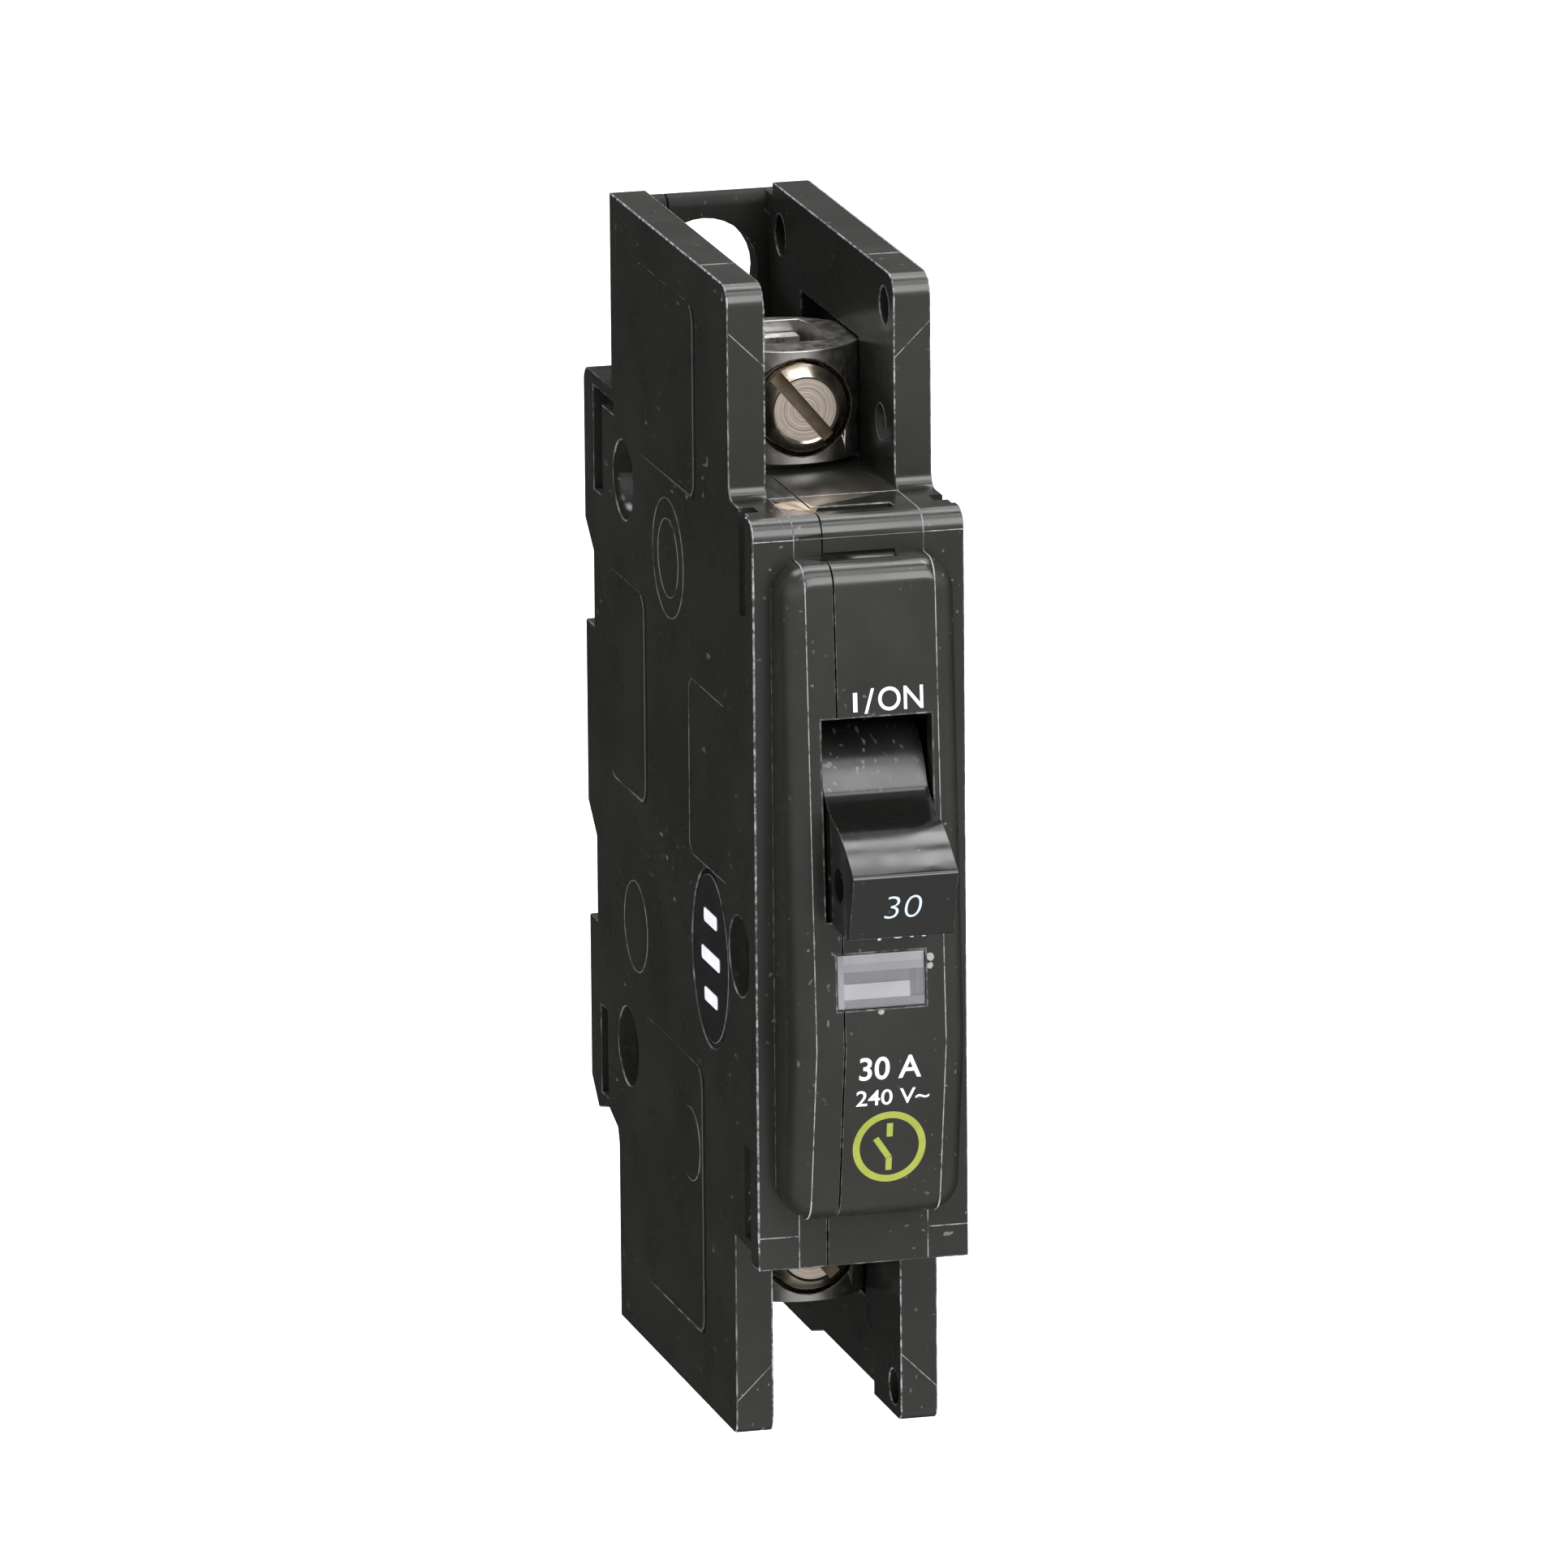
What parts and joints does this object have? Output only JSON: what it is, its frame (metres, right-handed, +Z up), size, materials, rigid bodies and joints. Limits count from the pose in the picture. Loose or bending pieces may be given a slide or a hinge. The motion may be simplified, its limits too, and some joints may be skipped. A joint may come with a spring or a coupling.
{
  "type": "circuit breaker",
  "caption": "Slim black single-pole circuit breaker for a 35 mm rail, with a rocker handle, a trip window and a screw box lug in an open bay at each end.",
  "frame": {"origin": "middle of the 35 mm rail's seat: half-way across the module, in the plane of the two flange seats, at the rail's centre line", "axes": "+X across the module to the right as seen from the front, +Y to the rear, into the rail, +Z up, towards the line terminal"},
  "size_m": [0.019, 0.0747, 0.1038],
  "materials": {
    "moulding": "black moulded thermoset, satin, worn light along its edges",
    "handle_moulding": "glossy black moulding",
    "clear_lens": "clear moulded lens with a frosted back",
    "red_flag": "red moulding",
    "label": "black film label with plain white bars",
    "lug_metal": "tin-plated aluminium, lightly tumbled",
    "screw_metal": "nickel-plated steel, turned face",
    "copper": "bare rolled copper",
    "copper_braid": "woven copper wire",
    "contact_silver": "silver alloy",
    "spring_steel": "spring wire",
    "zinc_steel": "zinc-plated sheet steel",
    "bimetal_strip": "rolled bimetal",
    "rivet_metal": "plated tubular rivet",
    "arc_steel": "copper-washed sheet steel",
    "fibre_board": "red-brown vulcanised fibre"
  },
  "bodies": {
    "case": {"main_case": "moulding", "side_cover": "moulding", "window_lens": "clear_lens", "oval_label": "label", "rivet_upper": "rivet_metal", "rivet_lower": "rivet_metal", "rivet_front": "rivet_metal", "arc_side_left": "fibre_board", "arc_side_right": "fibre_board", "arc_plate_1": "arc_steel", "arc_plate_2": "arc_steel", "arc_plate_3": "arc_steel", "arc_plate_4": "arc_steel", "arc_plate_5": "arc_steel", "line_lug": "lug_metal", "load_lug": "lug_metal", "line_strap": "copper", "fixed_contact": "contact_silver", "load_strap": "copper", "bimetal": "bimetal_strip", "magnet_yoke": "zinc_steel", "armature_spring": "spring_steel", "calibration_screw": "screw_metal", "braid": "copper_braid"},
    "handle": {"handle": "handle_moulding"},
    "contact_arm": {"contact_arm": "copper", "moving_contact": "contact_silver", "toggle_spring": "spring_steel"},
    "trip_lever": {"trip_lever": "zinc_steel", "trip_flag": "red_flag"},
    "armature": {"armature": "zinc_steel"},
    "line_screw": {"line_screw": "screw_metal"},
    "load_screw": {"load_screw": "screw_metal"}
  },
  "joints": [
    {"name": "handle_throw", "type": "hinge", "parent": "case", "child": "handle", "pos_m": [0, -0.0537, 0.0064], "axis": [-1, 0, 0], "range_deg": [0, 34]},
    {"name": "contact_arm_swing", "type": "hinge", "parent": "handle", "child": "contact_arm", "pos_m": [0, -0.04605, 0.00874], "axis": [1, 0, 0], "range_deg": [0, 60.1], "deforming": ["toggle_spring", "braid"]},
    {"name": "trip_lever_swing", "type": "hinge", "parent": "case", "child": "trip_lever", "pos_m": [0, -0.0447, -0.0144], "axis": [-1, 0, 0], "range_deg": [0, 20]},
    {"name": "armature_tilt", "type": "hinge", "parent": "case", "child": "armature", "pos_m": [0, -0.0226, -0.0034], "axis": [1, 0, 0], "range_deg": [0, 4], "stiffness_Nm_per_rad": 0.004, "deforming": ["armature_spring"]},
    {"name": "line_screw_turn", "type": "hinge", "parent": "case", "child": "line_screw", "pos_m": [0, -0.0402, 0.0386], "axis": [0, 1, 0], "continuous": true},
    {"name": "load_screw_turn", "type": "hinge", "parent": "case", "child": "load_screw", "pos_m": [0, -0.0402, -0.0377], "axis": [0, 1, 0], "continuous": true}
  ],
  "couplings": [
    {"joint": "contact_arm_swing", "follows": "handle_throw", "ratio": 1.7665}
  ]
}
